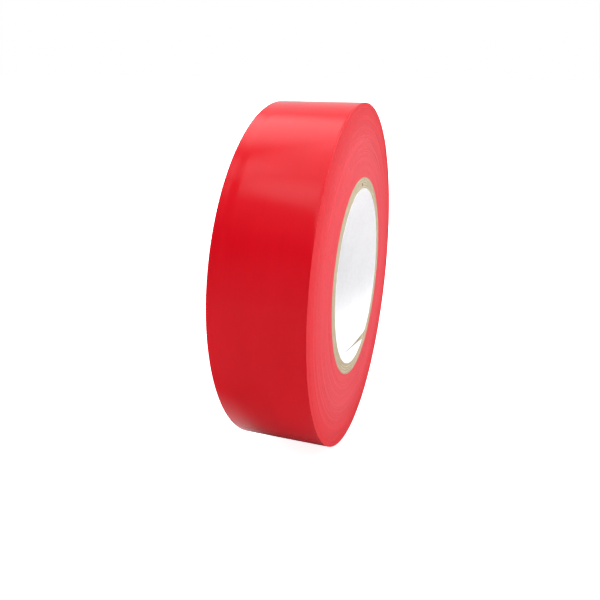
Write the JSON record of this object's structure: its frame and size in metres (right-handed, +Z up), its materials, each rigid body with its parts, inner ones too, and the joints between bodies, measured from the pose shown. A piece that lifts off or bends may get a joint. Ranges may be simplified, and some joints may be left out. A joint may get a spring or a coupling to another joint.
{
  "type": "electrical tape roll",
  "caption": "Roll of glossy red PVC electrical tape wound on a paper core with a white-lined bore; the tape's outer end peels back.",
  "frame": {"origin": "centre of the core's bore, halfway across the tape's width", "axes": "+Y along the roll's axis, +Z up with the roll standing on its rim, +X across it; the tape's loose end points to +X on the upper side"},
  "size_m": [0.0733, 0.018, 0.0734],
  "materials": {
    "tape_film": "gloss",
    "tape_side": "satin",
    "core_board": "matte",
    "core_cover": "matte",
    "core_liner": "matte"
  },
  "bodies": {
    "roll": {"core_liner": "core_liner", "core_board_ply_1": "core_board", "core_board_ply_2": "core_board", "core_board_ply_3": "core_board", "core_board_ply_4": "core_board", "core_cover_ply": "core_cover", "tape_winding": "tape_side", "tape_outer_lap": "tape_film"},
    "free_end": {"tape_free_end": "tape_film"}
  },
  "joints": [
    {"name": "free_end_peel", "type": "hinge", "parent": "roll", "child": "free_end", "pos_m": [0.00732, 0, 0.036], "axis": [0, -1, 0], "range_deg": [0, 110]}
  ]
}
